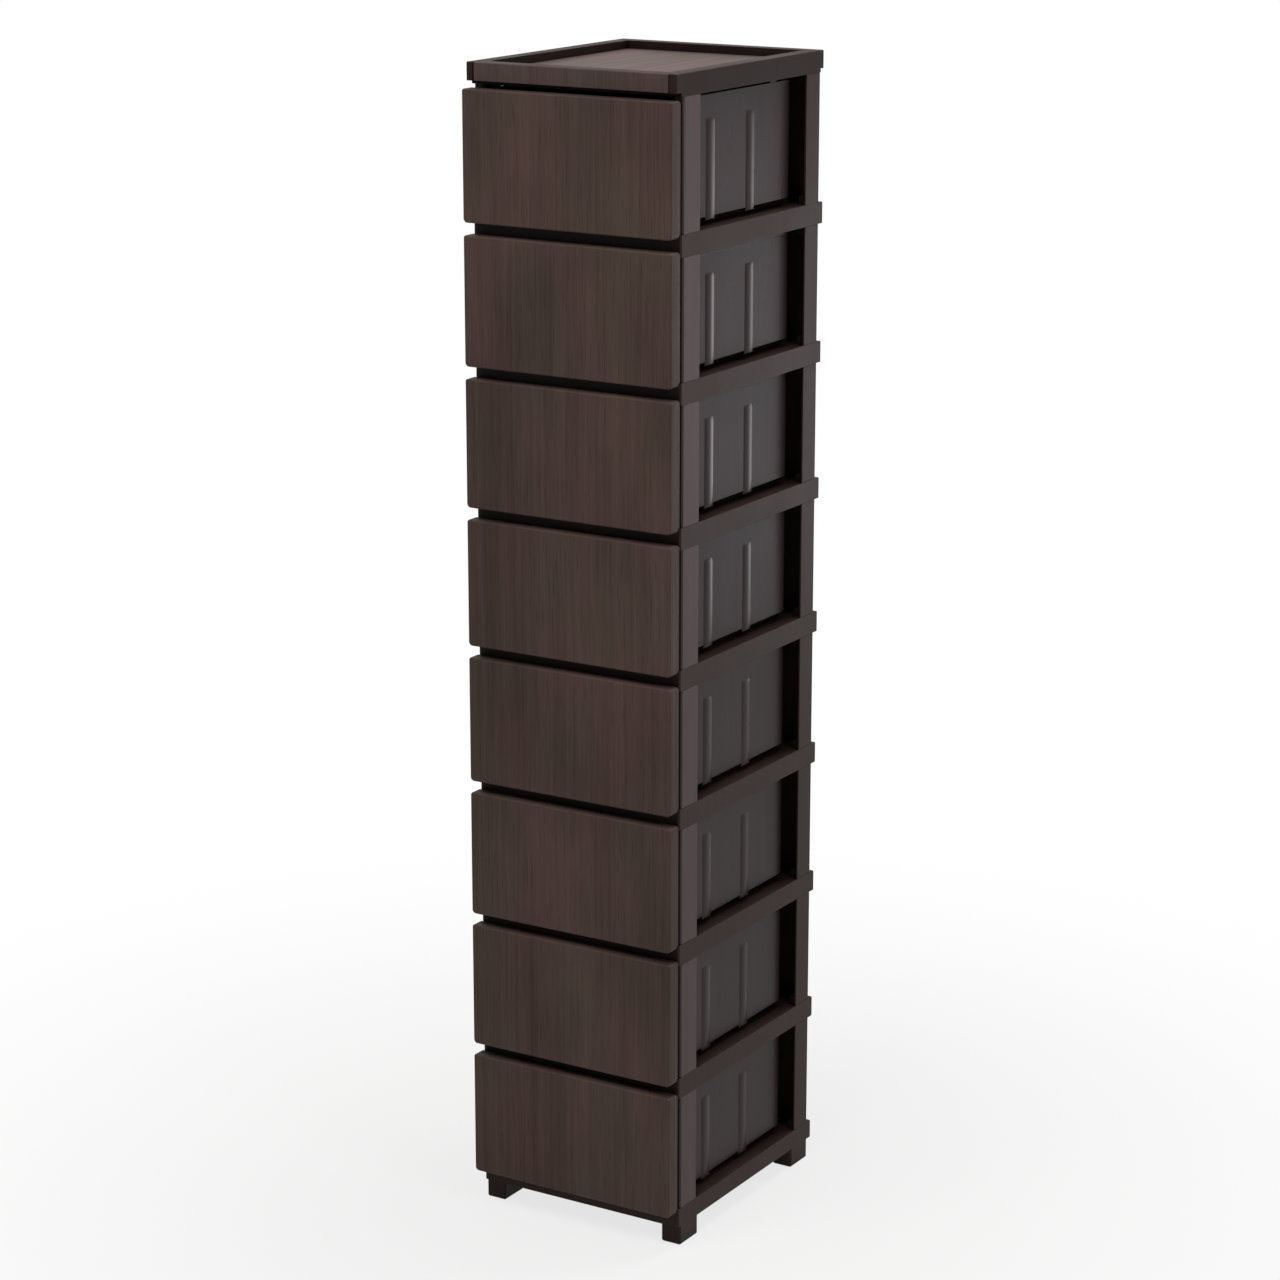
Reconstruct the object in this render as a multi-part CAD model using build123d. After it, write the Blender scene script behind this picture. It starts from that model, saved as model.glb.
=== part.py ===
from build123d import *
import os

# Eight-drawer tower in moulded plastic, millimetres, +Z up, drawers open towards -Y.
# The origin is at floor level, under the middle of the closed tower.

# Tower
level_count = 8
level_pitch = 150.0  # one drawer floor to the next
tower_width = 250.0  # over the posts, and the width of a drawer front
frame_depth = 281.0  # front face of the front posts to the back of the rear walls
rail_height = 23.0  # side skirt of a deck
base_rail_height = 21.0  # and of the base frame
top_level_extra = 10.0  # the uppermost level is this much taller than the others

# Decks
deck_wall = 2.8
deck_floor = 2.4
deck_front_lip = 4.0  # deck reaches this far ahead of the posts
deck_rear_ledge = 9.0  # and this far behind the rear walls
deck_corner = 1.6
deck_rear_chamfer = 2.6
rib_thickness = 2.0
rib_drop = 9.0  # stiffening ribs under a deck floor
rib_rows = 3
seat_floor = 2.4  # plate that closes a deck's corner over a post

# Feet of the base frame
foot_height = 22.0
foot_width = 24.0
foot_length = 37.0
foot_wall = 3.0
foot_toe = 1.5  # bevel round the sole

# Posts and rear walls
post_width = 12.0
post_depth = 34.0
post_wall = 2.2
post_edge = 1.6
return_depth = 30.0  # sides of a rear wall, turned forwards
rear_wall_thickness = 2.2
rear_bead_width = 8.0
rear_bead_proud = 1.2
rear_bead_count = 3
spigot_height = 9.0
spigot_fit = 0.3

# Drawer runners, moulded on the decks
runner_inset = 30.0  # middle of a runner to the side of the tower
runner_width = 5.0
runner_height = 2.0
runner_end_gap = 3.0
running_gap = 0.25

# Drawer tub
tub_side_gap = 1.5  # tub to post, each side, at the rim
tub_rear = 247.0  # outside of the rear wall, behind the post faces
rim_clearance = 3.0  # tub rim to the rail above
top_rim_extra = 8.5  # the uppermost tub is this much taller than the others
tub_wall = 2.2
tub_floor = 2.2
tub_corner = 13.0
tub_heel = 7.0  # slope where the sides meet the floor
rim_bead_height = 3.5
rim_bead_proud = 0.8
flute_positions = (75.0, 156.0)  # ribs on the tub's sides, behind the post faces
flute_width = 14.0
flute_crest = 5.0
flute_proud = 0.8
flute_top_gap = 28.0  # below the rim
skid_width = 2.4
skid_drop = 1.4
skid_gap = 0.5
stop_tab_setback = 50.0  # face of the stop tabs ahead of the tub's rear
stop_tab_length = 14.0
stop_tab_height = 8.0
stop_clearance = 0.5

# Drawer front
front_gap = 13.0  # one front to the next
front_drop = 3.5  # the front hangs this far below its deck floor
front_depth = 16.0
front_skin = 3.0
front_wall = 2.4
front_edge = 1.0
front_lower_corner = 4.5
front_upper_corner = 1.5
flange_thickness = 2.9
flange_inset = 0.8
closing_gap = 0.5  # flange to deck when the drawer is shut
grip_inset = 27.0  # end of the grip to the side of the front
grip_height = 17.0

# Top board
top_skirt = 19.0
top_lip = 4.0  # rail under the board, level with the posts
top_front_overhang = 14.6
top_rear_overhang = 7.0
top_corner = 1.2
top_edge = 0.8
top_wall = 3.0
rim_width = 17.0
rim_depth = 8.5
board_web = 2.4
panel_thickness = 3.0
panel_fit = 0.3
trim_thickness = 2.4
trim_end_strip = 8.0
trim_groove = 1.3

# Places worked out from the sizes above
front_stand_off = front_depth + flange_thickness + closing_gap + deck_front_lip
overall_depth = front_stand_off + frame_depth + deck_rear_ledge
front_face_y = -overall_depth / 2
post_face_y = front_face_y + front_stand_off
rear_face_y = post_face_y + frame_depth
deck_front_y = post_face_y - deck_front_lip
deck_back_y = rear_face_y + deck_rear_ledge
flange_back_y = deck_front_y - closing_gap
tub_rear_y = post_face_y + tub_rear
half_width = tower_width / 2
post_x = half_width - post_width / 2
front_post_y = post_face_y + post_depth / 2
rear_return_y = rear_face_y - return_depth / 2
runner_x = half_width - runner_inset
grip_width = tower_width - 2 * grip_inset
front_height = level_pitch - front_gap
base_floor_z = foot_height + base_rail_height
opening_height = level_pitch - rail_height
stop_tab_y = tub_rear_y - stop_tab_setback
drawer_travel = stop_tab_y - (deck_front_y + deck_wall) - stop_clearance
tub_half_rim = half_width - post_width - tub_side_gap
levels = range(1, level_count + 1)


def floor_of(level):
    return base_floor_z + (level_count - level) * level_pitch


def opening_of(level):
    return opening_height + (top_level_extra if level == 1 else 0.0)


def rim_of(level):
    extra = top_rim_extra if level == 1 else 0.0
    return floor_of(level) + opening_height - rim_clearance + extra


def spread(width, y0, y1, x=0.0):
    """Rectangle centred on x, from y0 to y1."""
    return Pos(x, (y0 + y1) / 2) * Rectangle(width, y1 - y0)


def raise_up(sketch, z0, z1):
    """Extrude a plan sketch from height z0 to z1."""
    return extrude(Pos(0, 0, z0) * sketch, amount=z1 - z0)


def eased(plan, cut):
    """Plan with its outside corners cut off."""
    return chamfer(plan.vertices(), cut)


def both_sides(shape):
    return shape + mirror(shape, Plane.YZ)


def spigots(z0, z1):
    """Plugs that fill the front post ends and the corners of the rear wall."""
    play = 2 * (post_wall + spigot_fit)
    plugs = Sketch()
    for depth, y in ((post_depth, front_post_y), (return_depth, rear_return_y)):
        plugs += Pos(post_x, y) * Rectangle(post_width - play, depth - play)
    return both_sides(raise_up(plugs, z0, z1))


def post_seats(z_seat, z_floor):
    """Plates over the corners of a level, each hung from the floor above by a web."""
    plates = Sketch()
    webs = Sketch()
    for near, far, web in (
        (post_face_y, post_face_y + post_depth, post_face_y + post_depth),
        (rear_face_y - return_depth, rear_face_y, rear_face_y - return_depth),
    ):
        inward = -rib_thickness if web == far else rib_thickness
        plates += spread(post_width, near, far, post_x)
        webs += spread(post_width, min(web, web + inward), max(web, web + inward), post_x)
    seats = raise_up(plates, z_seat, z_seat + seat_floor) + raise_up(webs, z_seat, z_floor)
    return both_sides(seats)


def deck_tray(z_floor, z_rail):
    """Floor with a skirt down to z_rail, and the ribs inside the skirt."""
    under = z_floor - deck_floor
    inside = spread(tower_width - 2 * deck_wall, deck_front_y + deck_wall, deck_back_y - deck_wall)
    tray = raise_up(spread(tower_width, deck_front_y, deck_back_y), z_rail, z_floor)
    tray = chamfer(tray.edges().filter_by(Axis.X).sort_by(Axis.Z)[-2:].sort_by(Axis.Y)[-1], deck_rear_chamfer)
    tray = chamfer(tray.edges().filter_by(Axis.Z), deck_corner)
    tray -= raise_up(inside, z_rail, under)
    ribs = Sketch()
    pitch = frame_depth / (rib_rows + 1)
    for row in range(1, rib_rows + 1):
        y = post_face_y + row * pitch
        ribs += spread(tower_width - 2 * deck_wall, y - rib_thickness / 2, y + rib_thickness / 2)
    ribs += spread(rib_thickness, deck_front_y + deck_wall, rear_face_y)
    tray += raise_up(ribs, under - rib_drop, under)
    return tray


def runners(z_floor):
    start = deck_front_y + runner_end_gap
    end = rear_face_y - rear_wall_thickness - runner_end_gap
    strip = spread(runner_width, start, end, runner_x)
    return both_sides(raise_up(strip, z_floor, z_floor + runner_height))


def rear_rib(z_rail, z_under):
    """Rib over the top edge of the rear wall below."""
    strip = spread(tower_width - 2 * post_width, rear_face_y - rear_wall_thickness, rear_face_y)
    return raise_up(strip, z_rail, z_under)


def make_deck(level):
    z_floor = floor_of(level)
    z_rail = z_floor - rail_height
    deck = deck_tray(z_floor, z_rail) + runners(z_floor)
    deck += post_seats(z_rail, z_floor - deck_floor)
    deck += rear_rib(z_rail, z_floor - deck_floor)
    deck += spigots(z_floor, z_floor + spigot_height)
    deck += spigots(z_rail - spigot_height, z_rail)
    return deck


def make_base():
    """Lowest deck, standing on four hollow feet open at the sole."""
    z_floor = base_floor_z
    foot_x = half_width - foot_width / 2
    base = deck_tray(z_floor, foot_height) + runners(z_floor)
    for y in (post_face_y + foot_length / 2, rear_face_y - foot_length / 2):
        sole = Pos(foot_x, y) * eased(Rectangle(foot_width, foot_length), deck_corner)
        well = Pos(foot_x, y) * Rectangle(foot_width - 2 * foot_wall, foot_length - 2 * foot_wall)
        foot = raise_up(sole, 0, z_floor - deck_floor)
        foot = chamfer(foot.faces().sort_by(Axis.Z)[0].edges(), foot_toe)
        base += both_sides(foot)
        base -= both_sides(raise_up(well, 0, z_floor - deck_floor))
    base += spigots(z_floor, z_floor + spigot_height)
    return base


def make_post(level, side):
    z0 = floor_of(level)
    plan = eased(Rectangle(post_width, post_depth), post_edge)
    plan -= Rectangle(post_width - 2 * post_wall, post_depth - 2 * post_wall)
    return raise_up(Pos(side * post_x, front_post_y) * plan, z0, z0 + opening_of(level))


def make_rear_wall(level):
    """Thin wall with upright beads, its sides turned forwards."""
    z0 = floor_of(level)
    z1 = z0 + opening_of(level)
    inside_y = rear_face_y - rear_wall_thickness
    plan = spread(tower_width, rear_face_y - return_depth, rear_face_y)
    plan = chamfer(plan.vertices().group_by(Axis.Y)[-1], post_edge)
    plan -= spread(tower_width - 2 * rear_wall_thickness, rear_face_y - return_depth, inside_y)
    wall = raise_up(plan, z0, z1)
    step = tower_width / (rear_bead_count + 1)
    for bead in range(rear_bead_count):
        x = (bead + 1) * step - half_width
        strip = spread(rear_bead_width, rear_face_y, rear_face_y + rear_bead_proud, x)
        wall += raise_up(strip, z0 + spigot_height, z1 - spigot_height)
    return wall


def tub_plan(grow):
    """Plan of the tub, running ahead of the flange, with its rear corners round."""
    start = flange_back_y - front_depth
    plan = spread(2 * (tub_half_rim + grow), start, tub_rear_y + grow)
    return fillet(plan.vertices().group_by(Axis.Y)[-1], tub_corner + grow)


def flute_plan():
    """Plan of the low ribs that stiffen the tub's sides."""
    crest = tub_half_rim + flute_proud
    flutes = Sketch()
    for position in flute_positions:
        y = post_face_y + position
        outline = Polyline(
            (tub_half_rim - tub_wall / 2, y - flute_width / 2),
            (tub_half_rim, y - flute_width / 2),
            (crest, y - flute_crest / 2),
            (crest, y + flute_crest / 2),
            (tub_half_rim, y + flute_width / 2),
            (tub_half_rim - tub_wall / 2, y + flute_width / 2),
            close=True,
        )
        flutes += make_face(outline)
    return both_sides(flutes)


def make_tub(level):
    z_deck = floor_of(level)
    z_low = z_deck + runner_height + running_gap
    z_rim = rim_of(level)
    outside = raise_up(tub_plan(0), z_low, z_rim)
    outside = chamfer(outside.faces().sort_by(Axis.Z)[0].edges(), tub_heel)
    outside += raise_up(tub_plan(rim_bead_proud), z_rim - rim_bead_height, z_rim)
    outside += raise_up(flute_plan(), z_low + tub_heel, z_rim - flute_top_gap)
    inside = raise_up(tub_plan(-tub_wall), z_low + tub_floor, z_rim)
    inside = chamfer(inside.faces().sort_by(Axis.Z)[0].edges(), tub_heel - tub_wall)
    tub = outside - inside
    tub -= raise_up(spread(2 * tower_width, front_face_y - front_depth, flange_back_y), z_low, z_rim)
    tub += make_flange(z_deck)
    return tub + both_sides(make_skid(z_low)) + both_sides(make_stop_tab(z_rim))


def front_outline(grow, z_deck, ease):
    """Upright outline of a drawer front, its lower corners eased by fillet or chamfer."""
    z0 = z_deck - front_drop - grow
    height = front_height + 2 * grow
    outline = Pos(0, z0 + height / 2) * Rectangle(tower_width + 2 * grow, height)
    outline = ease(outline.vertices().group_by(Axis.Y)[0], front_lower_corner + grow)
    upper = outline.vertices().group_by(Axis.Y)[-1]
    return chamfer(upper, front_upper_corner)


def push_out(sketch, y_back, depth):
    """Stand an outline upright at y_back and extrude it towards the front."""
    return extrude(Plane((0, y_back, 0), x_dir=(1, 0, 0), z_dir=(0, -1, 0)) * sketch, amount=depth)


def make_flange(z_deck):
    return push_out(front_outline(-flange_inset, z_deck, chamfer), flange_back_y, flange_thickness)


def make_skid(z_low):
    """Guide that runs along the outer side of a deck runner."""
    x = runner_x + runner_width / 2 + skid_gap + skid_width / 2
    strip = spread(skid_width, post_face_y, tub_rear_y - 2 * tub_corner, x)
    return raise_up(strip, z_low - skid_drop, z_low + tub_floor / 2)


def make_stop_tab(z_rim):
    """Upstand that meets the rail above when the drawer is fully out."""
    profile = Polyline(
        (stop_tab_y, z_rim - rim_bead_height),
        (stop_tab_y, z_rim + stop_tab_height),
        (stop_tab_y + stop_tab_length / 3, z_rim + stop_tab_height),
        (stop_tab_y + stop_tab_length, z_rim),
        (stop_tab_y + stop_tab_length, z_rim - rim_bead_height),
        close=True,
    )
    plane = Plane((tub_half_rim, 0, 0), x_dir=(0, 1, 0), z_dir=(1, 0, 0))
    return extrude(plane * make_face(profile), amount=-tub_wall)


def make_front(level):
    """Hollow front panel with a finger grip in its underside."""
    z_deck = floor_of(level)
    z_low = z_deck - front_drop
    y_back = flange_back_y - flange_thickness
    shell = push_out(front_outline(0, z_deck, fillet), y_back, front_depth)
    shell = chamfer(shell.faces().sort_by(Axis.Y)[0].edges(), front_edge)
    hollow = push_out(front_outline(-front_wall, z_deck, chamfer), y_back, front_depth - front_skin)
    grip_span = spread(grip_width, y_back - front_depth + front_skin, y_back)
    grip_walls = spread(grip_width + 2 * front_wall, y_back - front_depth + front_skin, y_back)
    shell -= hollow
    shell += raise_up(grip_walls, z_low + front_wall / 2, z_low + grip_height + front_wall)
    return shell - raise_up(grip_span, z_low - front_wall, z_low + grip_height)


# Top board
z_top_rail = floor_of(1) + opening_of(1)
z_skirt = z_top_rail + top_lip
z_top = z_skirt + top_skirt
board_front_y = post_face_y - top_front_overhang
board_back_y = rear_face_y + top_rear_overhang


def recess_plan(grow):
    width = tower_width - 2 * rim_width + 2 * grow
    return spread(width, board_front_y + rim_width - grow, board_back_y - rim_width + grow)


def make_top_frame():
    """Skirted frame with a sunken bed for the panel and a rail that sits on the posts."""
    z_bed = z_top - rim_depth - panel_thickness
    under_bed = z_bed - board_web
    outline = eased(spread(tower_width, board_front_y, board_back_y), top_corner)
    skin_y = board_front_y + trim_thickness + top_wall
    inside = spread(tower_width - 2 * top_wall, skin_y, board_back_y - top_wall)
    frame = raise_up(outline, z_skirt, z_top)
    frame = chamfer(frame.faces().sort_by(Axis.Z)[-1].edges(), top_edge)
    frame -= raise_up(inside, z_skirt, z_top - board_web)
    frame += raise_up(recess_plan(board_web), under_bed, z_top - board_web)
    frame -= raise_up(recess_plan(0), z_bed, z_top)
    rail = spread(tower_width, deck_front_y, rear_face_y)
    back = rear_face_y - rear_wall_thickness
    rail -= spread(tower_width - 2 * deck_wall, deck_front_y + deck_wall, back)
    frame += raise_up(rail, z_top_rail, under_bed)
    frame += post_seats(z_top_rail, under_bed)
    frame += spigots(z_top_rail - spigot_height, z_top_rail)
    return frame - raise_up(trim_bed(0), z_skirt, z_top)


def trim_bed(gap):
    """Plan of the trim at the front of the board, less a gap at each end."""
    width = tower_width - 2 * (trim_end_strip + gap)
    return spread(width, board_front_y, board_front_y + trim_thickness)


def make_top_trim():
    """Wood-look strip let into the front of the board, with a groove at each end."""
    trim = raise_up(trim_bed(trim_groove), z_skirt, z_top)
    front = trim.faces().sort_by(Axis.Y)[0]
    return chamfer(front.edges().filter_by(Axis.X).sort_by(Axis.Z)[-1], top_edge)


def make_top_panel():
    z_bed = z_top - rim_depth - panel_thickness
    return raise_up(recess_plan(-panel_fit), z_bed, z_bed + panel_thickness)


os.makedirs("parts", exist_ok=True)
export_step(make_top_frame(), "parts/top_frame.step")
export_step(make_top_panel(), "parts/top_panel.step")
export_step(make_top_trim(), "parts/top_front_trim.step")
export_step(make_base(), "parts/base_frame.step")
for level in levels:
    if level < level_count:
        export_step(make_deck(level), f"parts/deck_{level}.step")
    export_step(make_post(level, -1), f"parts/front_left_post_{level}.step")
    export_step(make_post(level, 1), f"parts/front_right_post_{level}.step")
    export_step(make_rear_wall(level), f"parts/rear_wall_{level}.step")
    export_step(make_tub(level), f"parts/drawer_tub_{level}.step")
    export_step(make_front(level), f"parts/drawer_front_{level}.step")
print("drawer travel", round(drawer_travel, 3))
print("overall", tower_width, round(overall_depth, 2), round(z_top, 2))
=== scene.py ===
import math

import bmesh
import bpy
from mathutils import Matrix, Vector


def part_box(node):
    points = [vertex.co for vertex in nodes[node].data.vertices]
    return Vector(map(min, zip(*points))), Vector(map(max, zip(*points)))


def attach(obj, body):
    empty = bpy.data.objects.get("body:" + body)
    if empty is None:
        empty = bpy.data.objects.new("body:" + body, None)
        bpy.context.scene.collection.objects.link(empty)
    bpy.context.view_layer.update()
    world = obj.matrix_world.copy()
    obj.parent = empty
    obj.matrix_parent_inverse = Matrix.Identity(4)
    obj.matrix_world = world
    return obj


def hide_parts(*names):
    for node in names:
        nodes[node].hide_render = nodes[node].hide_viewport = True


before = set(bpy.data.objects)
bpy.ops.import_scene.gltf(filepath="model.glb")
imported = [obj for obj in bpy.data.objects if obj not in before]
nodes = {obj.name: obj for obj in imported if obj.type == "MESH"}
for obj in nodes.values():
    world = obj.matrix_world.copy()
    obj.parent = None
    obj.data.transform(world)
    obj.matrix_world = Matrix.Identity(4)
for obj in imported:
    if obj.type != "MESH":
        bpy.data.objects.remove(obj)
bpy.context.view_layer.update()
levels = range(1, 1 + sum(name.startswith("drawer_front_") for name in nodes))
print("frame loaded:", len(nodes), "solids,", len(levels), "levels")


# one part of a screen colour, 0 to 255, as linear light
def linearPart(part):
    share = part / 255
    return ((share + 0.055) / 1.055) ** 2.4 if part > 10 else share / 12.92


def srgb(r, g, b):
    return tuple(linearPart(part) for part in (r, g, b)) + (1.0,)


# shader nodes that the materials, the floor and the world share
def mathNode(tree, operation, a, b, c=None):
    node = tree.nodes.new("ShaderNodeMath")
    node.operation = operation
    for i, value in enumerate((a, b, c)):
        if value is None:
            continue
        if isinstance(value, (int, float)):
            node.inputs[i].default_value = value
        else:
            tree.links.new(value, node.inputs[i])
    return node.outputs[0]


def vectorNode(tree, operation, a, b=None, c=None):
    node = tree.nodes.new("ShaderNodeVectorMath")
    node.operation = operation
    for i, value in enumerate((a, b, c)):
        if value is None:
            continue
        if isinstance(value, tuple):
            node.inputs[i].default_value = value
        else:
            tree.links.new(value, node.inputs[i])
    return node


def ranged(tree, value, low, high, toLow=0.0, toHigh=1.0, curve="LINEAR"):
    node = tree.nodes.new("ShaderNodeMapRange")
    node.interpolation_type = curve
    for title, number in (("From Min", low), ("From Max", high), ("To Min", toLow), ("To Max", toHigh)):
        node.inputs[title].default_value = number
    tree.links.new(value, node.inputs["Value"])
    return node.outputs[0]


def noiseNode(tree, vector, scale, detail, rough=0.5):
    node = tree.nodes.new("ShaderNodeTexNoise")
    node.inputs["Scale"].default_value = scale
    node.inputs["Detail"].default_value = detail
    node.inputs["Roughness"].default_value = rough
    tree.links.new(vector, node.inputs["Vector"])
    return node.outputs["Fac"]


def mixColour(tree, factor, a, b):
    node = tree.nodes.new("ShaderNodeMix")
    node.data_type = "RGBA"
    for i, value in ((0, factor), (6, a), (7, b)):  # the factor and the two colours
        if isinstance(value, (tuple, float)):
            node.inputs[i].default_value = value
        else:
            tree.links.new(value, node.inputs[i])
    return node.outputs[2]


# noise that runs long on one axis: "stretch" is in waves a metre along X, Y and Z
def layerNoise(tree, vector, layer):
    place = vectorNode(tree, "MULTIPLY", vector, layer["stretch"]).outputs[0]
    return noiseNode(tree, place, 1.0, layer["detail"], layer["rough"])


def layerTone(tree, noise, layer):
    return ranged(tree, noise, layer["low"], layer["high"])


# sum of (value, weight) pairs
def weighed(tree, pairs):
    total = 0.0
    for value, weight in pairs:
        total = mathNode(tree, "MULTIPLY_ADD", value, weight, total)
    return total


cameraSetup = {
    "place": (1.9077, -3.1161, 1.6015),
    "look": (-0.5060, 0.8232, -0.2576),
    "lens": 98.42,
    "sensor": 36.0,
    "clipEnd": 100,
}


def makeCamera(setup):
    data = bpy.data.cameras.new("studioCamera")
    data.lens = setup["lens"]
    data.sensor_width = setup["sensor"]
    data.clip_end = setup["clipEnd"]
    camera = bpy.data.objects.new("studioCamera", data)
    bpy.context.scene.collection.objects.link(camera)
    camera.location = setup["place"]
    camera.rotation_euler = Vector(setup["look"]).to_track_quat("-Z", "Y").to_euler()
    bpy.context.scene.camera = camera


makeCamera(cameraSetup)
print("camera placed")


# the backdrop is white in the lens, in gloss and through glass, and gives less light to the rest
def backdropRays(tree):
    rays = tree.nodes.new("ShaderNodeLightPath")
    seen = rays.outputs["Is Camera Ray"]
    for kind in ("Is Glossy Ray", "Is Transmission Ray"):
        seen = mathNode(tree, "MAXIMUM", seen, rays.outputs[kind])
    return seen


worldSetup = {"level": 0.26, "seen": 1.0}


def makeWorld(setup):
    world = bpy.data.worlds.new("studioWorld")
    bpy.context.scene.world = world
    world.use_nodes = True
    tree = world.node_tree
    tree.nodes.clear()
    sky = tree.nodes.new("ShaderNodeBackground")
    level = ranged(tree, backdropRays(tree), 0.0, 1.0, setup["level"], setup["seen"])
    tree.links.new(level, sky.inputs["Strength"])
    out = tree.nodes.new("ShaderNodeOutputWorld")
    tree.links.new(sky.outputs[0], out.inputs["Surface"])


# lamps in metres and watts; the lens doesn't see them, but gloss does
warmLight = (1.0, 0.975, 0.95)
coolLight = (0.98, 0.965, 1.0)
lampSetup = {
    "keySoftbox": {"place": (-0.3, -2.1, 3.7), "aim": (0, 0, 0.6), "size": (2.2, 1.4), "power": 92,
                   "colour": warmLight},
    "sideSoftbox": {"place": (2.6, -0.9, 2.6), "aim": (0, 0, 0.6), "size": (1.0, 1.6), "power": 26,
                    "colour": coolLight},
    "rearCard": {"place": (0.58, 2.25, 0.5), "aim": (0, 0, 0.5), "size": (1.0, 0.8), "power": 7,
                 "colour": coolLight},
    "overSoftbox": {"place": (0.5, 0.9, 2.9), "aim": (0, 0, 1.25), "size": (1.0, 1.0), "power": 30,
                    "colour": warmLight},
}


def softbox(name, setup):
    data = bpy.data.lights.new(name, "AREA")
    data.shape = "RECTANGLE"
    data.size, data.size_y = setup["size"]
    data.energy = setup["power"]
    data.color = setup["colour"]
    lamp = bpy.data.objects.new(name, data)
    lamp.visible_camera = False
    bpy.context.scene.collection.objects.link(lamp)
    lamp.location = setup["place"]
    aim = Vector(setup["aim"]) - Vector(setup["place"])
    lamp.rotation_euler = aim.to_track_quat("-Z", "Y").to_euler()


# white floor that keeps a share of the shadow near the tower, out to "shadowReach"
floorSetup = {"half": 40.0, "colour": (0.5, 0.5, 0.5, 1.0), "shadowShare": 0.24, "shadowReach": 1.3}


def paleFloor(setup):
    material = bpy.data.materials.new("paleFloor")
    material.use_nodes = True
    tree = material.node_tree
    tree.nodes.clear()
    where = tree.nodes.new("ShaderNodeTexCoord")
    away = vectorNode(tree, "LENGTH", where.outputs["Object"]).outputs["Value"]
    fade = ranged(tree, away, 0.0, setup["shadowReach"], setup["shadowShare"], 0.0, "SMOOTHSTEP")
    plain = mathNode(tree, "MULTIPLY", backdropRays(tree), mathNode(tree, "SUBTRACT", 1.0, fade))
    matte = tree.nodes.new("ShaderNodeBsdfDiffuse")
    matte.inputs["Color"].default_value = setup["colour"]
    white = tree.nodes.new("ShaderNodeEmission")
    mix = tree.nodes.new("ShaderNodeMixShader")
    for i, socket in enumerate((plain, matte.outputs[0], white.outputs[0])):
        tree.links.new(socket, mix.inputs[i])
    out = tree.nodes.new("ShaderNodeOutputMaterial")
    tree.links.new(mix.outputs[0], out.inputs["Surface"])
    return material


def makeFloor(setup):
    bm = bmesh.new()
    bmesh.ops.create_grid(bm, x_segments=1, y_segments=1, size=setup["half"])
    mesh = bpy.data.meshes.new("studioFloor")
    bm.to_mesh(mesh)
    bm.free()
    floor = bpy.data.objects.new("studioFloor", mesh)
    bpy.context.scene.collection.objects.link(floor)
    mesh.materials.append(paleFloor(setup))


makeWorld(worldSetup)
for name, setup in lampSetup.items():
    softbox(name, setup)
makeFloor(floorSetup)
print("studio lit")


# effects that several materials share, as node groups
def newGroup(name, ins, outs):
    tree = bpy.data.node_groups.new(name, "ShaderNodeTree")
    for title, kind, value in ins:
        socket = tree.interface.new_socket(title, in_out="INPUT", socket_type=kind)
        if value is not None:
            socket.default_value = value
    for title, kind in outs:
        tree.interface.new_socket(title, in_out="OUTPUT", socket_type=kind)
    return tree, tree.nodes.new("NodeGroupInput"), tree.nodes.new("NodeGroupOutput")


surfaceOuts = [("Color", "NodeSocketColor"), ("Height", "NodeSocketFloat"), ("Roughness", "NodeSocketFloat")]
surfaceIns = [("Vector", "NodeSocketVector", None), ("Dark", "NodeSocketColor", (0, 0, 0, 1)),
              ("Light", "NodeSocketColor", (1, 1, 1, 1))]

# printed grain: the four tones add up, pores darken them and the patch tints them
woodSetup = {
    "sway": {"stretch": (9, 9, 4), "detail": 2, "rough": 0.5, "shift": (0.006, 0.006, 0)},
    "bands": {"stretch": (26, 26, 1.7), "detail": 3, "rough": 0.55, "low": 0.3, "high": 0.7, "weight": 0.24},
    "lines": {"stretch": (210, 210, 3.6), "detail": 4, "rough": 0.6, "low": 0.3, "high": 0.7, "weight": 0.24},
    "fibres": {"stretch": (850, 850, 14), "detail": 3, "rough": 0.6, "low": 0.3, "high": 0.7, "weight": 0.22},
    "broad": {"stretch": (8, 8, 5), "detail": 2, "rough": 0.5, "low": 0.35, "high": 0.65, "weight": 0.3},
    "pores": {"stretch": (620, 620, 26), "detail": 2, "rough": 0.5, "low": 0.60, "high": 0.72},
    "patch": {"stretch": (13, 13, 6), "detail": 2, "rough": 0.5, "low": 0.38, "high": 0.62},
    "poreShade": 0.55,
    "poreDepth": 0.6,
    "ridgeHeight": 0.5,  # share of the lines, and of the fibres, in the relief
    "warmTint": (1.07, 0.97, 0.98, 1.0),
    "greenTint": (0.95, 1.01, 0.93, 1.0),
    "dull": 0.62,  # roughness between the lines
    "shiny": 0.46,  # and on them
}


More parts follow.
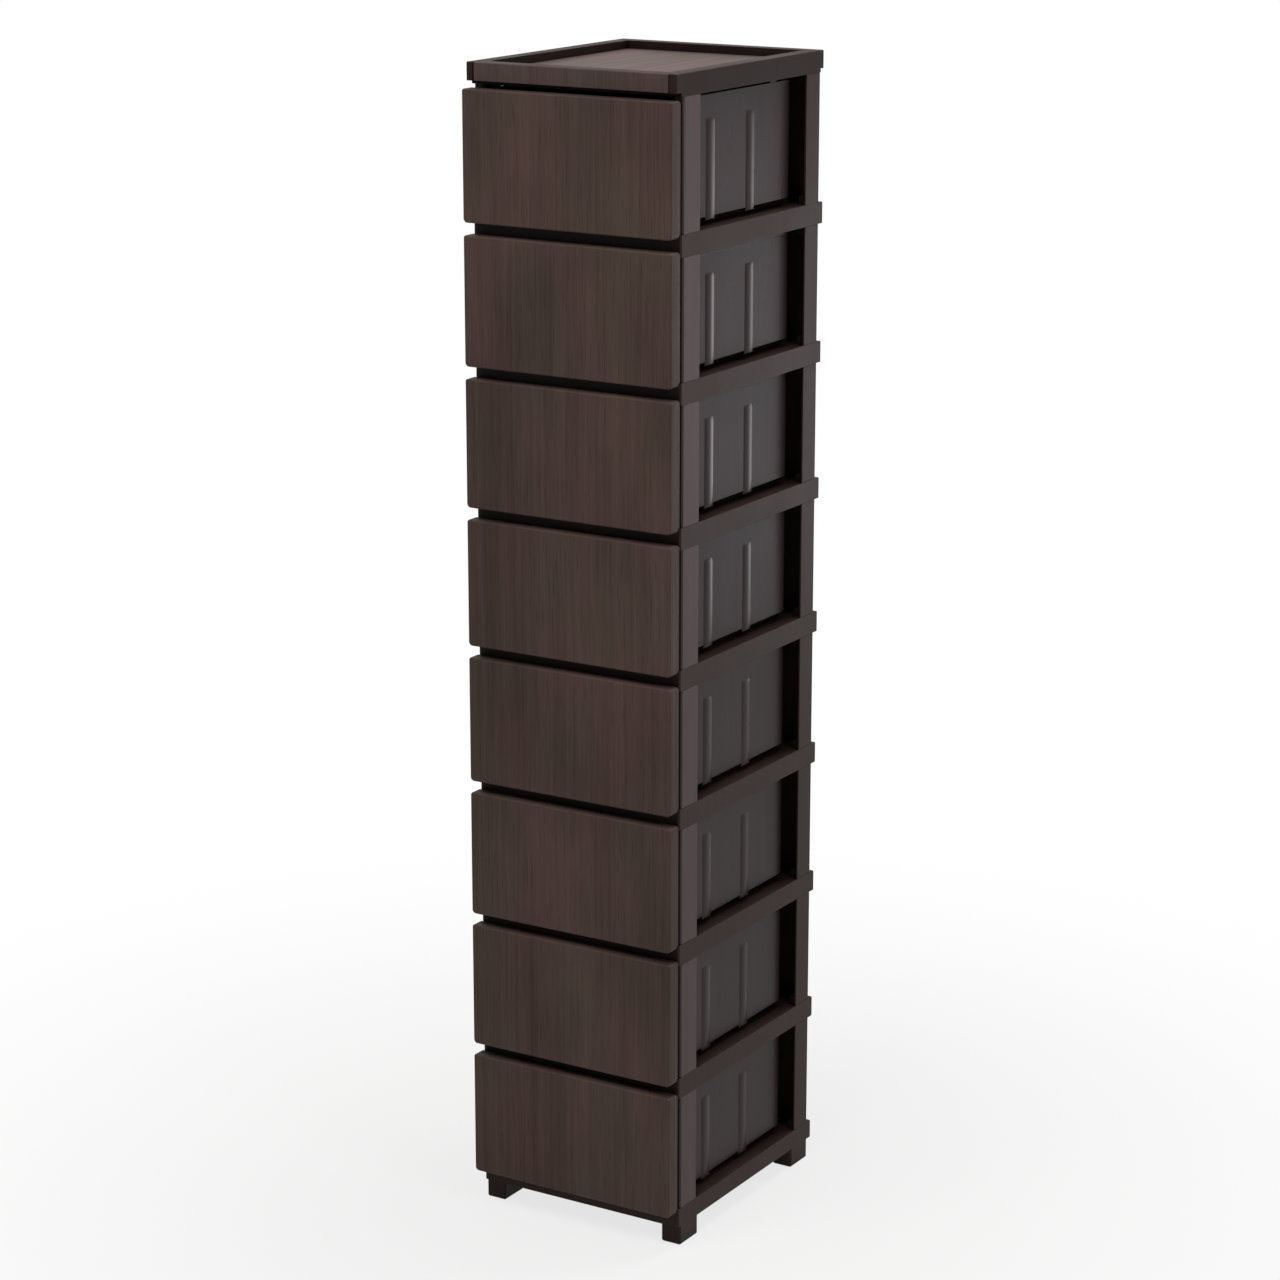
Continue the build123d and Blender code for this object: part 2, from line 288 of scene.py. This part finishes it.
# grain that runs along Z
def makeWoodGroup(setup):
    values = [("Depth", "NodeSocketFloat", 1.0)]
    tree, given, out = newGroup("woodGrainPrint", surfaceIns + values, surfaceOuts)
    place = given.outputs["Vector"]
    sway = layerNoise(tree, place, setup["sway"])
    bent = vectorNode(tree, "MULTIPLY_ADD", sway, setup["sway"]["shift"], place).outputs[0]
    noise = {name: layerNoise(tree, bent, setup[name]) for name in ("bands", "lines", "fibres", "pores")}
    noise["broad"] = layerNoise(tree, place, setup["broad"])
    noise["patch"] = layerNoise(tree, place, setup["patch"])
    tones = {name: layerTone(tree, value, setup[name]) for name, value in noise.items()}

    parts = [(tones[name], setup[name]["weight"]) for name in ("lines", "bands", "fibres", "broad")]
    poreShade = mathNode(tree, "MULTIPLY_ADD", tones["pores"], -setup["poreShade"], 1.0)
    tone = mathNode(tree, "MULTIPLY", weighed(tree, parts), poreShade)
    colour = mixColour(tree, tone, given.outputs["Dark"], given.outputs["Light"])
    tint = mixColour(tree, tones["patch"], setup["warmTint"], setup["greenTint"])
    tree.links.new(vectorNode(tree, "MULTIPLY", colour, tint).outputs[0], out.inputs["Color"])

    relief = [(noise["fibres"], setup["ridgeHeight"]), (noise["lines"], setup["ridgeHeight"]),
              (tones["pores"], -setup["poreDepth"])]
    height = mathNode(tree, "MULTIPLY", weighed(tree, relief), given.outputs["Depth"])
    tree.links.new(height, out.inputs["Height"])
    lines = setup["lines"]
    rough = ranged(tree, noise["lines"], lines["low"], lines["high"], setup["dull"], setup["shiny"])
    tree.links.new(rough, out.inputs["Roughness"])
    return tree


# fine spark-eroded skin of moulded plastic, with faint flow marks
skinSetup = {
    "cloud": {"stretch": (14, 14, 5), "detail": 3, "rough": 0.5, "low": 0.3, "high": 0.7, "weight": 0.55},
    "flow": {"stretch": (120, 120, 2.4), "detail": 3, "rough": 0.55, "low": 0.3, "high": 0.7, "weight": 0.3},
    "speck": {"scale": 1500.0, "detail": 2, "weight": 0.15},
}


def makeSkinGroup(setup):
    values = [("Grain", "NodeSocketFloat", 1.0), ("Smooth", "NodeSocketFloat", 0.35),
              ("Rough", "NodeSocketFloat", 0.5)]
    tree, given, out = newGroup("mouldedSkin", surfaceIns + values, surfaceOuts)
    place = given.outputs["Vector"]
    cloud = layerTone(tree, layerNoise(tree, place, setup["cloud"]), setup["cloud"])
    flow = layerTone(tree, layerNoise(tree, place, setup["flow"]), setup["flow"])
    speck = noiseNode(tree, place, setup["speck"]["scale"], setup["speck"]["detail"])
    tones = {"flow": flow, "cloud": cloud, "speck": speck}
    parts = [(value, setup[name]["weight"]) for name, value in tones.items()]
    colour = mixColour(tree, weighed(tree, parts), given.outputs["Dark"], given.outputs["Light"])
    tree.links.new(colour, out.inputs["Color"])
    tree.links.new(mathNode(tree, "MULTIPLY", speck, given.outputs["Grain"]), out.inputs["Height"])
    spread = mathNode(tree, "SUBTRACT", given.outputs["Rough"], given.outputs["Smooth"])
    rough = mathNode(tree, "MULTIPLY_ADD", cloud, spread, given.outputs["Smooth"])
    tree.links.new(rough, out.inputs["Roughness"])
    return tree


# painted shade: the base colour is darkened where faces stand close together
creviceSetup = {"samples": 8, "reach": 0.022, "power": 1.6}


def makeCreviceGroup(setup):
    tree, given, out = newGroup(
        "creviceShade",
        [("Color", "NodeSocketColor", (1, 1, 1, 1)), ("Shade", "NodeSocketFloat", 0.5)],
        [("Color", "NodeSocketColor")],
    )
    near = tree.nodes.new("ShaderNodeAmbientOcclusion")
    near.samples = setup["samples"]
    near.inputs["Distance"].default_value = setup["reach"]
    dark = mathNode(tree, "POWER", near.outputs["AO"], setup["power"])
    keep = mathNode(tree, "SUBTRACT", 1.0, given.outputs["Shade"])
    level = mathNode(tree, "MULTIPLY_ADD", dark, given.outputs["Shade"], keep)
    scaled = vectorNode(tree, "SCALE", given.outputs["Color"])
    tree.links.new(level, scaled.inputs["Scale"])
    tree.links.new(scaled.outputs[0], out.inputs["Color"])
    return tree


# a capital letter marks a value that goes to the socket of that name; bump is in metres
# Shade sets how strongly the painted crevice shade darkens each finish's colour
woodBase = {"group": makeWoodGroup(woodSetup), "turn": (0, 0, 0), "bump": 0.00005, "specular": 0.12,
            "Depth": 1.0, "Shade": 0.2}
plasticBase = {"group": makeSkinGroup(skinSetup), "turn": (0, 0, 0), "bump": 0.00002, "specular": 0.08,
               "Smooth": 0.4, "Rough": 0.52, "Grain": 1.0, "Shade": 0.8}
creviceGroup = makeCreviceGroup(creviceSetup)

finishes = {
    "drawerWood": woodBase | {"Dark": srgb(49, 38, 35), "Light": srgb(87, 71, 66)},
    "trimWood": woodBase | {"Dark": srgb(54, 43, 40), "Light": srgb(89, 74, 70)},
    # lighter copy of the wood for the top panel: a painted sheen from the light on top
    "topWood": woodBase | {"Dark": srgb(64, 51, 49), "Light": srgb(90, 75, 71), "bump": 0.00003,
                           "turn": (math.pi / 2, 0, 0), "specular": 0.15, "Shade": 0.85},
    # lighter copy of the deck plastic for the front posts: a painted sheen
    "postPlastic": plasticBase | {"Dark": srgb(72, 59, 60), "Light": srgb(90, 76, 78),
                                  "specular": 0.1, "Smooth": 0.36, "Rough": 0.48},
    "deckPlastic": plasticBase | {"Dark": srgb(48, 36, 34), "Light": srgb(62, 48, 45)},
    # darker copy of the deck plastic for the top frame: painted shade
    "topPlastic": plasticBase | {"Dark": srgb(34, 24, 23), "Light": srgb(46, 34, 32), "specular": 0.06},
    "tubPlastic": plasticBase | {"Dark": srgb(39, 27, 28), "Light": srgb(51, 36, 38), "bump": 0.000004,
                                 "specular": 0.12, "Smooth": 0.25, "Rough": 0.29, "Shade": 0.35},
}


def makeFinish(name, setup):
    material = bpy.data.materials.new(name)
    material.use_nodes = True
    tree = material.node_tree
    shader = next(n for n in tree.nodes if n.type == "BSDF_PRINCIPLED")
    shader.inputs["Specular IOR Level"].default_value = setup["specular"]
    where = tree.nodes.new("ShaderNodeTexCoord")
    turn = tree.nodes.new("ShaderNodeMapping")
    turn.inputs["Rotation"].default_value = setup["turn"]
    tree.links.new(where.outputs["Object"], turn.inputs["Vector"])
    effect = tree.nodes.new("ShaderNodeGroup")
    effect.node_tree = setup["group"]
    tree.links.new(turn.outputs[0], effect.inputs["Vector"])
    for title, value in setup.items():
        if title in effect.inputs:
            effect.inputs[title].default_value = value
    bump = tree.nodes.new("ShaderNodeBump")
    bump.inputs["Distance"].default_value = setup["bump"]
    tree.links.new(effect.outputs["Height"], bump.inputs["Height"])
    # painted shade in the crevices goes into the base colour
    crevice = tree.nodes.new("ShaderNodeGroup")
    crevice.node_tree = creviceGroup
    crevice.inputs["Shade"].default_value = setup["Shade"]
    tree.links.new(effect.outputs["Color"], crevice.inputs["Color"])
    tree.links.new(crevice.outputs["Color"], shader.inputs["Base Color"])
    tree.links.new(effect.outputs["Roughness"], shader.inputs["Roughness"])
    tree.links.new(bump.outputs[0], shader.inputs["Normal"])
    return material


materials = {name: makeFinish(name, setup) for name, setup in finishes.items()}
print("finishes made:", ", ".join(materials))

# metres and degrees, for every piece
edgeSetup = {"weld": 0.00001, "flatBelow": 0.6, "roundFrom": 30, "smoothBelow": 40}
# how far the edges of each kind of piece are rounded
pieceSetup = {
    "front": {"radius": 0.0007, "segments": 2},
    "tub": {"radius": 0.0005, "segments": 2},
    "frame": {"radius": 0.0006, "segments": 2},
    "panel": {"radius": 0.0012, "segments": 3},
}


# copy of a solid, with its edges rounded
def softened(nodeName, setup):
    bm = bmesh.new()
    bm.from_mesh(nodes[nodeName].data)
    bmesh.ops.remove_doubles(bm, verts=bm.verts, dist=edgeSetup["weld"])
    flat = math.radians(edgeSetup["flatBelow"])
    bmesh.ops.dissolve_limit(bm, angle_limit=flat, verts=bm.verts, edges=bm.edges)
    corner = math.radians(edgeSetup["roundFrom"])
    edges = [e for e in bm.edges if e.is_manifold and e.calc_face_angle(0) > corner]
    bmesh.ops.bevel(bm, geom=edges, offset=setup["radius"], offset_type="OFFSET", segments=setup["segments"],
                    profile=0.5, affect="EDGES", clamp_overlap=True, material=-1)
    return bm


# nodeName is the solid that the piece replaces, or None
def finished(bm, name, nodeName, body, finish):
    mesh = bpy.data.meshes.new(name)
    for face in bm.faces:
        face.smooth = True
    bm.to_mesh(mesh)
    bm.free()
    mesh.set_sharp_from_angle(angle=math.radians(edgeSetup["smoothBelow"]))
    mesh.materials.append(materials[finish])
    piece = bpy.data.objects.new(name, mesh)
    bpy.context.scene.collection.objects.link(piece)
    shade = piece.modifiers.new("flatFaces", "WEIGHTED_NORMAL")
    shade.keep_sharp = True
    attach(piece, body)
    if nodeName:
        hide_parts(nodeName)


def softPiece(nodeName, pieceName, body, finish, setup):
    finished(softened(nodeName, setup), pieceName, nodeName, body, finish)


# crowned ribs on the tub sides, which catch the light over the solid's own low ribs
fluteSetup = {
    "places": (0.075, 0.156),  # behind the front of the post
    "gap": 0.0015,  # tub side to the inner side of the post
    "width": 0.018,
    "proud": 0.001,
    "sunk": 0.001,
    "foot": 0.0080,  # above the tub's lowest point
    "top": 0.0318,  # below its highest
    "footRamp": 0.0012,
    "topRamp": 0.004,
    "cuts": 11,
}


def allOf(bm):
    return bm.verts[:] + bm.edges[:] + bm.faces[:]


def makeFlutes(n, setup):
    tubLow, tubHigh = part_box(f"drawer_tub_{n}")
    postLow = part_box(f"front_right_post_{n}")[0]
    z0, z1 = tubLow.z + setup["foot"], tubHigh.z - setup["top"]
    tall = z1 - z0
    # a unit cube is crowned across Y and closed by a ramp at each end, then takes its size
    half = 0.5
    bm = bmesh.new()
    bmesh.ops.create_cube(bm, size=2 * half)
    across = [e for e in bm.edges if abs(e.verts[0].co.y - e.verts[1].co.y) > half]
    bmesh.ops.subdivide_edges(bm, edges=across, cuts=setup["cuts"])
    for height in (half - setup["topRamp"] / tall, setup["footRamp"] / tall - half):
        bmesh.ops.bisect_plane(bm, geom=allOf(bm), plane_co=(0, 0, height), plane_no=(0, 0, 1))
    for v in bm.verts:
        crown = 1 - (v.co.y / half) ** 2
        atEnd = math.isclose(abs(v.co.z), half, abs_tol=0.0001)
        outer = 0.0 if atEnd else setup["proud"] * crown
        v.co.x = outer if v.co.x > 0 else -setup["sunk"]
    bmesh.ops.scale(bm, vec=(1, setup["width"], tall), verts=bm.verts)
    side = Vector((postLow.x - setup["gap"], postLow.y + setup["places"][0], (z0 + z1) / 2))
    bmesh.ops.translate(bm, vec=side, verts=bm.verts)
    copied = bmesh.ops.duplicate(bm, geom=allOf(bm))["geom"]
    step = setup["places"][1] - setup["places"][0]
    second = [g for g in copied if isinstance(g, bmesh.types.BMVert)]
    bmesh.ops.translate(bm, vec=(0, step, 0), verts=second)
    bmesh.ops.mirror(bm, geom=allOf(bm), axis="X", merge_dist=0)
    bmesh.ops.recalc_face_normals(bm, faces=bm.faces)
    finished(bm, f"tubFlutes{n}", None, f"drawer_{n}", "tubPlastic")


for n in levels:
    body = f"drawer_{n}"
    makeFlutes(n, fluteSetup)
    softPiece(f"drawer_front_{n}", f"drawerFront{n}", body, "drawerWood", pieceSetup["front"])
    softPiece(f"drawer_tub_{n}", f"drawerTub{n}", body, "tubPlastic", pieceSetup["tub"])
print("drawers made")

# by the first word of the node's name; the rest is deckPlastic
# the front posts take the lighter copy of the deck plastic, a painted sheen
# the top frame takes the darker copy of the deck plastic, painted shade
towerFinish = {"front": "postPlastic", "top": "topPlastic"}
repeated = ("deck_", "front_left_", "front_right_", "rear_wall_")
frameNodes = [name for name in nodes if name.startswith(repeated)]
for name in frameNodes + ["base_frame", "top_frame"]:
    words = name.split("_")
    title = words[0] + "".join(word.capitalize() for word in words[1:])
    finish = towerFinish.get(words[0], "deckPlastic")
    softPiece(name, title, "tower", finish, pieceSetup["frame"])
# the top panel takes the lighter wood, a painted sheen
softPiece("top_panel", "topPanel", "tower", "topWood", pieceSetup["panel"])
softPiece("top_front_trim", "topFrontTrim", "tower", "trimWood", pieceSetup["frame"])
print("tower made")

view = bpy.context.scene.view_settings
view.view_transform = "Standard"
